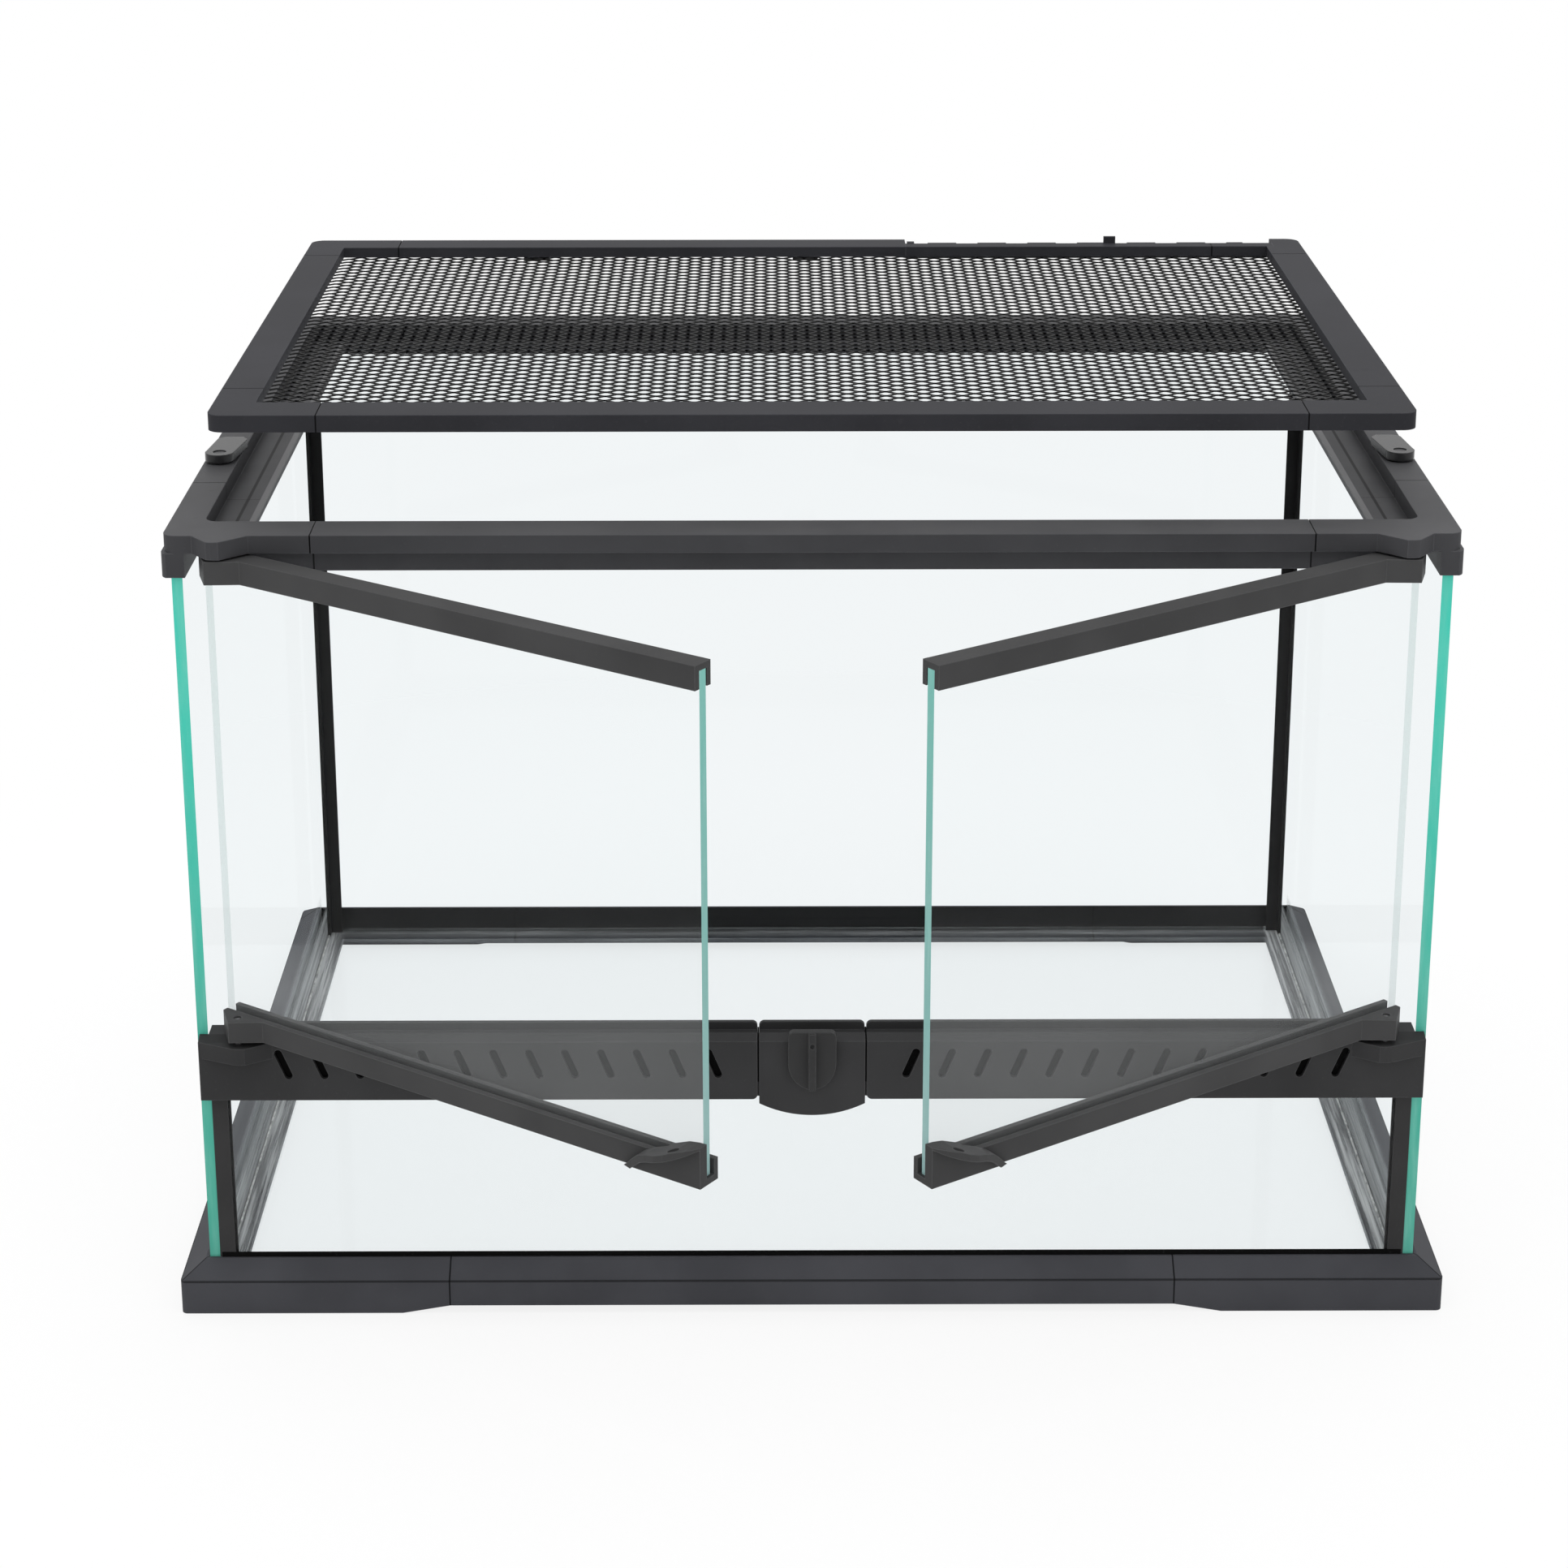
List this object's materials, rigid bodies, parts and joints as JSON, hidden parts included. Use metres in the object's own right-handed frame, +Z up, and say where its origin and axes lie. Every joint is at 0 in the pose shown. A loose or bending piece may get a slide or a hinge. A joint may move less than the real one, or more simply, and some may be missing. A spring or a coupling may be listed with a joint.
{
  "type": "reptile terrarium",
  "caption": "Glass terrarium with hinged front doors over a vented sill with a turn lock, black base and top frames, and a lift-off mesh lid.",
  "frame": {"origin": "middle of the footprint at floor level, with the doors standing open as stored", "axes": "+X to the right seen from the front, +Y from the doors to the back pane, +Z up"},
  "size_m": [0.61, 0.6074, 0.443],
  "materials": {
    "base_plastic": "fine-grained black moulding",
    "top_plastic": "fine-grained black moulding",
    "sill_plastic": "fine-grained black moulding",
    "knob_plastic": "satin black moulding",
    "door_plastic": "fine-grained black moulding",
    "latch_plastic": "fine-grained black moulding",
    "lid_plastic": "fine-grained black moulding",
    "slider_plastic": "fine-grained black moulding",
    "corner_strip": "smooth black strip",
    "mesh": "black-coated expanded metal",
    "mesh_clip": "black moulding",
    "tank_glass": "clear float glass with green-blue edges",
    "door_glass": "clear float glass with green-blue edges",
    "steel_pin": "plain steel pin",
    "dark_screw": "black-finished metal"
  },
  "bodies": {
    "tank": {"base_corner_front_left": "base_plastic", "base_corner_front_right": "base_plastic", "base_corner_rear_left": "base_plastic", "base_corner_rear_right": "base_plastic", "base_rail_front": "base_plastic", "base_rail_rear": "base_plastic", "base_rail_left": "base_plastic", "base_rail_right": "base_plastic", "floor_glass": "tank_glass", "side_glass_left": "tank_glass", "side_glass_right": "tank_glass", "back_glass": "tank_glass", "front_lower_glass": "tank_glass", "rear_strip_left": "corner_strip", "rear_strip_right": "corner_strip", "front_strip_left": "corner_strip", "front_strip_right": "corner_strip", "top_corner_front_left": "top_plastic", "top_corner_front_right": "top_plastic", "top_corner_rear_left": "top_plastic", "top_corner_rear_right": "top_plastic", "top_rail_front": "top_plastic", "top_rail_rear": "top_plastic", "top_rail_left": "top_plastic", "top_rail_right": "top_plastic", "vent_bar_left": "sill_plastic", "vent_bar_right": "sill_plastic", "lock_housing": "sill_plastic", "hinge_pin_upper_left": "steel_pin", "hinge_pin_lower_left": "steel_pin", "hinge_pin_upper_right": "steel_pin", "hinge_pin_lower_right": "steel_pin", "latch_screw_left": "dark_screw", "latch_screw_right": "dark_screw"},
    "left_door": {"left_door_glass": "door_glass", "left_door_top_rail": "door_plastic", "left_door_bottom_rail": "door_plastic", "left_door_pull": "door_plastic"},
    "right_door": {"right_door_glass": "door_glass", "right_door_top_rail": "door_plastic", "right_door_bottom_rail": "door_plastic", "right_door_pull": "door_plastic"},
    "lock_knob": {"lock_knob": "knob_plastic", "lock_spindle": "dark_screw"},
    "lid": {"lid_corner_front_left": "lid_plastic", "lid_corner_front_right": "lid_plastic", "lid_corner_rear_left": "lid_plastic", "lid_corner_rear_right": "lid_plastic", "lid_rail_front": "lid_plastic", "lid_rail_rear": "lid_plastic", "lid_rail_left": "lid_plastic", "lid_rail_right": "lid_plastic", "lid_cable_rail": "lid_plastic", "lid_mesh": "mesh", "lid_mesh_clips": "mesh_clip"},
    "latch_left": {"latch_left": "latch_plastic"},
    "latch_right": {"latch_right": "latch_plastic"},
    "cable_slider": {"cable_slider": "slider_plastic"}
  },
  "joints": [
    {"name": "left_door_hinge", "type": "hinge", "parent": "tank", "child": "left_door", "pos_m": [-0.2715, -0.1467, 0.262], "axis": [0, 0, 1], "range_deg": [-75, 35]},
    {"name": "right_door_hinge", "type": "hinge", "parent": "tank", "child": "right_door", "pos_m": [0.2715, -0.1467, 0.262], "axis": [0, 0, 1], "range_deg": [-35, 75]},
    {"name": "lock_turn", "type": "hinge", "parent": "tank", "child": "lock_knob", "pos_m": [0, -0.1468, 0.13], "axis": [0, 1, 0], "range_deg": [0, 90]},
    {"name": "lid_lift", "type": "slide", "parent": "tank", "child": "lid", "axis": [0, 0, 1], "range_m": [-0.05, 0.03]},
    {"name": "left_latch_pivot", "type": "hinge", "parent": "tank", "child": "latch_left", "pos_m": [-0.2875, -0.0178, 0.391], "axis": [0, 0, 1], "range_deg": [-90, 0]},
    {"name": "right_latch_pivot", "type": "hinge", "parent": "tank", "child": "latch_right", "pos_m": [0.2875, -0.0178, 0.391], "axis": [0, 0, 1], "range_deg": [0, 90]},
    {"name": "cable_cover_slide", "type": "slide", "parent": "lid", "child": "cable_slider", "axis": [1, 0, 0], "range_m": [0, 0.014]}
  ]
}
